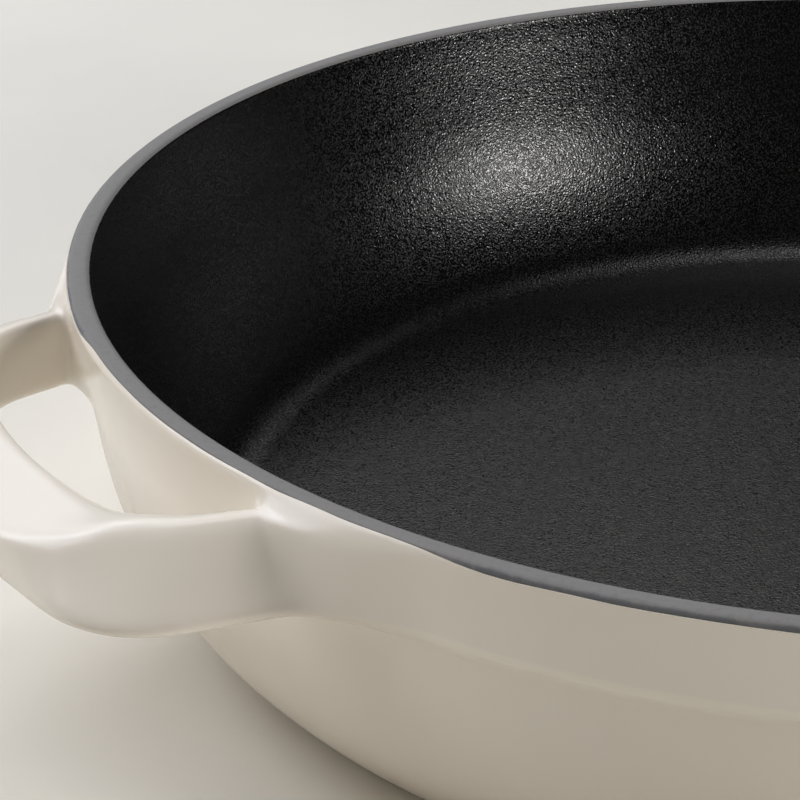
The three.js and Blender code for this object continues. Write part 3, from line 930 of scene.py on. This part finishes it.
class Surface:
    """A new material: nodes on object coordinates, and the surface shader that they end in."""

    def __init__(self, name):
        self.material = bpy.data.materials.new(name)
        self.material.use_nodes = True
        self.nodes = self.material.node_tree.nodes
        self.place = self.nodes.new("ShaderNodeTexCoord").outputs["Object"]

    def fill(self, node, inputs):
        """Gives a node its inputs, each a value or a socket to link from."""
        for name, value in inputs.items():
            if isinstance(value, bpy.types.NodeSocket):
                self.material.node_tree.links.new(value, node.inputs[name])
            else:
                node.inputs[name].default_value = value

    def add(self, kind, inputs, **settings):
        """A node with its settings and inputs."""
        node = self.nodes.new(kind)
        for name, value in settings.items():
            setattr(node, name, value)
        self.fill(node, inputs)
        return node

    def noise(self, scale, detail, roughness=0.5):
        """Noise with features of about one over the scale, in metres."""
        return self.add("ShaderNodeTexNoise", {
            "Vector": self.place, "Scale": scale, "Detail": detail, "Roughness": roughness,
        }).outputs["Fac"]

    def spread(self, value, to_low, to_high, low=NOISE_LOW, high=NOISE_HIGH):
        """A value carried to one range from another, that of noise if none is given, and held inside it."""
        return self.add("ShaderNodeMapRange", {
            "Value": value, "From Min": low, "From Max": high, "To Min": to_low, "To Max": to_high,
        }, clamp=True).outputs["Result"]

    def calculate(self, operation, first, second=0.0):
        """Two values joined by an operation, or one changed by it."""
        return self.add("ShaderNodeMath", {0: first, 1: second}, operation=operation).outputs["Value"]

    def split(self):
        """The three coordinates of a place."""
        return self.add("ShaderNodeSeparateXYZ", {"Vector": self.place}).outputs

    def blend(self, value, first, second, start=0.35, end=0.65):
        """A colour between two, by a value."""
        node = self.add("ShaderNodeValToRGB", {"Fac": value})
        for element, position, tint in zip(node.color_ramp.elements, (start, end), (first, second)):
            element.position = position
            element.color = (*tint, 1)
        return node.outputs["Color"]

    def bump(self, height, distance, strength, under=None):
        """A bumped normal, over another where one is given."""
        inputs = {"Height": height, "Distance": distance, "Strength": strength}
        if under is not None:
            inputs["Normal"] = under
        return self.add("ShaderNodeBump", inputs).outputs["Normal"]

    def finished(self, inputs):
        """The material, once its surface shader has its inputs."""
        self.fill(self.nodes["Principled BSDF"], inputs)
        return self.material


# Band of painted light under the ridge: how far below and above the ridge it reaches, and how strong it is.
RIDGE_LIGHT_DEPTH = 2.6 * MM
RIDGE_LIGHT_OVER = 0.8 * MM
RIDGE_LIGHT_SHARE = 0.4


def painted_light_at_ridge(surface, sizes, handle):
    """Painted light: a lighter band under the ridge that stands in for bounce light on its hollow; a share
    there, nothing elsewhere or by the handles.
    """
    place = surface.split()
    ridge = sizes.height - sizes.ridge_drop
    below = surface.spread(place["Z"], 0, 1, ridge - RIDGE_LIGHT_DEPTH, ridge - RIDGE_LIGHT_DEPTH / 2)
    above = surface.spread(place["Z"], 1, 0, ridge, ridge + RIDGE_LIGHT_OVER)
    aside = surface.calculate("ABSOLUTE", place["Y"])
    clear = handle.half_span + handle.root_flare
    off_handle = surface.spread(aside, 0, RIDGE_LIGHT_SHARE, clear, clear + handle.root_flare)
    return surface.calculate("MULTIPLY", surface.calculate("MULTIPLY", below, above), off_handle)


def pale_enamel(context):
    """Gloss off-white enamel, a little uneven in thickness, with a faint orange-peel surface and a band of
    painted light under the ridge.
    """
    finish = context.scene.pan_finish
    surface = Surface("pale_enamel")
    # The random thickness colour is joined here with the painted light band under the ridge.
    ridge = painted_light_at_ridge(surface, context.scene.pan_bowl, context.scene.pan_handle)
    pooled = surface.calculate("ADD", surface.noise(scale=14, detail=3), ridge)
    hazed = surface.noise(scale=55, detail=4)
    peel = surface.noise(scale=190, detail=2)
    return surface.finished({
        "Base Color": surface.blend(pooled, finish.pale_enamel, finish.pale_enamel_thick_and_lit, end=0.95),
        "Roughness": surface.spread(hazed, 0.18, 0.27),
        "Normal": surface.bump(peel, distance=0.05 * MM, strength=0.35),
        "IOR": 1.52,
    })


def base_enamel(context):
    """The same enamel where it is fired face down: duller, with more haze."""
    finish = context.scene.pan_finish
    surface = Surface("base_enamel")
    pooled = surface.noise(scale=20, detail=4)
    hazed = surface.noise(scale=40, detail=5)
    peel = surface.noise(scale=150, detail=3)
    return surface.finished({
        "Base Color": surface.blend(pooled, finish.pale_enamel, finish.pale_enamel_thick_and_lit),
        "Roughness": surface.spread(hazed, 0.22, 0.42),
        "Normal": surface.bump(peel, distance=0.1 * MM, strength=0.4),
    })


def black_enamel(context):
    """Satin black enamel with the fine pebbled grain of a sprayed coat."""
    finish = context.scene.pan_finish
    surface = Surface("black_enamel")
    grain = surface.noise(scale=2300, detail=1)
    speckled = surface.noise(scale=2500, detail=0)
    rolling = surface.bump(surface.noise(scale=400, detail=2), distance=0.12 * MM, strength=0.3)
    return surface.finished({
        "Base Color": surface.blend(grain, finish.black_enamel, finish.black_enamel_grain, 0.4, 0.7),
        "Roughness": surface.spread(speckled, 0.06, 0.4, low=0.39, high=0.61),
        "Normal": surface.bump(grain, distance=0.1 * MM, strength=1.0, under=rolling),
    })


# Painted shade along the lip's outer round: how far its boundary wavers, where it lies inside the lip, and
# how it fades in and out.
SCALLOP = 0.18 * MM
SHADE_BAND = 0.5 * MM
SHADE_FADE_IN = 0.2 * MM
SHADE_FADE_OUT = 0.15 * MM


def ground_coat(context):
    """Matte grey ground coat, mottled, with painted shade: darker in a band along its outer edge, on the
    lip's outer round.
    """
    finish = context.scene.pan_finish
    surface = Surface("ground_coat")
    flat = surface.add("ShaderNodeVectorMath", {0: surface.place, 1: (1, 1, 0)}, operation="MULTIPLY")
    radius = surface.add("ShaderNodeVectorMath", {0: flat.outputs[0]}, operation="LENGTH")
    scallop = surface.spread(surface.noise(scale=240, detail=3), -SCALLOP, SCALLOP)
    edge = surface.calculate("ADD", radius.outputs["Value"], scallop)
    # Painted shade: darker towards the outer edge of the lip, mixed with the random mottle.
    outer = context.scene.pan_bowl.lip_radius - SHADE_BAND
    edge_shade = surface.spread(edge, 0, 1, outer - SHADE_FADE_IN, outer + SHADE_FADE_OUT)
    mottled = surface.noise(scale=900, detail=4, roughness=0.7)
    edge_shade_and_mottle = surface.calculate("ADD", edge_shade, surface.spread(mottled, -0.45, 0.45))
    pitted = surface.noise(scale=900, detail=3)
    return surface.finished({
        "Base Color": surface.blend(edge_shade_and_mottle, finish.ground_coat, finish.ground_coat_shade, 0.0, 1.0),
        "Roughness": 0.75,
        "Specular IOR Level": 0.3,
        "Normal": surface.bump(pitted, distance=0.06 * MM, strength=0.4),
    })


GROUND_LOW = 0.05 * MM
GROUND_HIGH = 0.25 * MM


def cast_iron(context):
    """Bare casting, sandy and dark, with the turned marks of the ground foot ring."""
    finish = context.scene.pan_finish
    surface = Surface("cast_iron")
    ground = surface.spread(surface.split()["Z"], 1, 0, GROUND_LOW, GROUND_HIGH)
    sandy = surface.noise(scale=500, detail=4)
    dark = surface.blend(sandy, finish.iron, [1.5 * c for c in finish.iron])
    rings = surface.add("ShaderNodeTexWave", {
        "Vector": surface.place, "Scale": 260, "Distortion": 1.5, "Detail": 2.0,
    }, wave_type="RINGS", rings_direction="Z")
    bright = surface.blend(rings.outputs["Fac"], [0.75 * c for c in finish.ground_iron],
                           finish.ground_iron, 0.1, 0.9)
    mixed = surface.add("ShaderNodeMix", {0: ground, 6: dark, 7: bright}, data_type="RGBA")
    return surface.finished({
        "Base Color": mixed.outputs[2],
        "Roughness": surface.spread(ground, 0.75, 0.38, low=0, high=1),
        "Metallic": 0.6,
        "Normal": surface.bump(sandy, distance=0.15 * MM, strength=0.5),
    })


def pale_floor(context):
    """Plain pale floor with a faint mottle."""
    tint = context.scene.pan_stage.floor_colour
    surface = Surface("pale_floor")
    cloudy = surface.noise(scale=9, detail=4)
    rough = surface.noise(scale=120, detail=4)
    return surface.finished({
        "Base Color": surface.blend(cloudy, tint, [min(1.05 * c, 1) for c in tint]),
        "Roughness": 0.55,
        "Specular IOR Level": 0.25,
        "Normal": surface.bump(rough, distance=0.3 * MM, strength=0.15),
    })


# Stage

CAMERA_PLACE = Vector((-0.30309, -0.41111, 0.25618))
CAMERA_AIM = Vector((-0.08372, 0.03636, 0.03))
CAMERA_ROLL = math.radians(-0.474)
CAMERA_NEAR = 0.01
PAN_MIDDLE = Vector((0, 0, 0.03))
LIGHT_DISTANCE = 1.5

# Each light: its name, azimuth and elevation in degrees, width and height, and whose colour it has
LIGHTS = (
    ("window", 145, 40, 1.0, 1.0, "window"),
    ("high_window", 110, 62, 1.0, 1.0, "window"),
    ("low_window", 110, 40, 1.0, 1.0, "window"),
    ("back", 70, 43, 0.85, 0.6, "back"),
    ("overhead", 45, 70, 0.4, 0.4, "back"),
    ("glint", -57, 16, 0.36, 0.36, "glint"),
    ("fill", -166, 26, 1.8, 1.8, "fill"),
)


def soft_light(name, azimuth, elevation, width, height, watts, tint):
    """A rectangular soft light that faces the pan from an azimuth and an elevation, in degrees."""
    a = math.radians(azimuth)
    e = math.radians(elevation)
    toward = Vector((math.cos(a) * math.cos(e), math.sin(a) * math.cos(e), math.sin(e)))
    bpy.ops.object.select_all(action="DESELECT")
    bpy.ops.object.light_add(type="AREA", location=PAN_MIDDLE + LIGHT_DISTANCE * toward)
    lamp = bpy.context.object
    lamp.name = name
    lamp.data.shape = "RECTANGLE"
    lamp.data.size = width
    lamp.data.size_y = height
    lamp.data.energy = watts
    lamp.data.color = tint
    lamp.rotation_mode = "QUATERNION"
    lamp.rotation_quaternion = (-toward).to_track_quat("-Z", "Y")


class PAN_OT_stage(bpy.types.Operator):
    """Floor, soft light and the camera"""

    bl_idname = "pan.stage"
    bl_label = "Stage"

    def execute(self, context):
        settings = context.scene.pan_stage
        scene = context.scene
        scene.view_settings.view_transform = "Standard"
        bpy.ops.object.select_all(action="DESELECT")
        bpy.ops.mesh.primitive_plane_add(size=settings.floor_size, location=(0, 0, 0))
        floor = context.object
        floor.name = "floor"
        floor.data.materials.append(pale_floor(context))

        world = bpy.data.worlds.new("soft_room")
        world.use_nodes = True
        background = world.node_tree.nodes["Background"]
        background.inputs["Color"].default_value = (*settings.world_colour, 1)
        background.inputs["Strength"].default_value = settings.world_strength
        scene.world = world

        for name, azimuth, elevation, width, height, tint in LIGHTS:
            soft_light(name, azimuth, elevation, width, height,
                       getattr(settings, name + "_power"), getattr(settings, tint + "_colour"))

        bpy.ops.object.select_all(action="DESELECT")
        bpy.ops.object.camera_add(location=CAMERA_PLACE)
        camera = context.object
        camera.name = "camera"
        camera.rotation_mode = "QUATERNION"
        level = (CAMERA_AIM - CAMERA_PLACE).to_track_quat("-Z", "Y")
        camera.rotation_quaternion = level @ Quaternion((0, 0, 1), CAMERA_ROLL)
        camera.data.lens = settings.lens
        camera.data.sensor_width = settings.sensor
        camera.data.clip_start = CAMERA_NEAR
        scene.camera = camera
        return {"FINISHED"}


# Panel and registration

class PAN_PT_pieces(bpy.types.Panel):
    """Pieces of the serving pan"""

    bl_idname = "PAN_PT_pieces"
    bl_label = "Serving Pan"
    bl_space_type = "VIEW_3D"
    bl_region_type = "UI"
    bl_category = "Pan"

    def draw(self, context):
        for operator in PIECES:
            self.layout.operator(operator.bl_idname)
        for group in GROUPS:
            box = self.layout.box()
            settings = getattr(context.scene, group)
            for name in settings.__annotations__:
                box.prop(settings, name)


GROUPS = {
    "pan_bowl": BowlSizes,
    "pan_handle": HandleSizes,
    "pan_finish": PanFinish,
    "pan_stage": StageSettings,
    "pan_fineness": Fineness,
}
PIECES = (
    PAN_OT_outside_enamel,
    PAN_OT_inside_enamel,
    PAN_OT_lip_ground_coat,
    PAN_OT_base_enamel,
    PAN_OT_iron_casting,
    PAN_OT_stage,
)


def register():
    for group in GROUPS.values():
        bpy.utils.register_class(group)
    for name, group in GROUPS.items():
        setattr(bpy.types.Scene, name, PointerProperty(type=group))
    for operator in PIECES:
        bpy.utils.register_class(operator)
    bpy.utils.register_class(PAN_PT_pieces)


def unregister():
    bpy.utils.unregister_class(PAN_PT_pieces)
    for operator in reversed(PIECES):
        bpy.utils.unregister_class(operator)
    for name in GROUPS:
        delattr(bpy.types.Scene, name)
    for group in reversed(list(GROUPS.values())):
        bpy.utils.unregister_class(group)


def main():
    register()
    bpy.ops.pan.outside_enamel()
    bpy.ops.pan.inside_enamel()
    bpy.ops.pan.lip_ground_coat()
    bpy.ops.pan.base_enamel()
    bpy.ops.pan.iron_casting()
    bpy.ops.pan.stage()


if __name__ == "__main__":
    main()
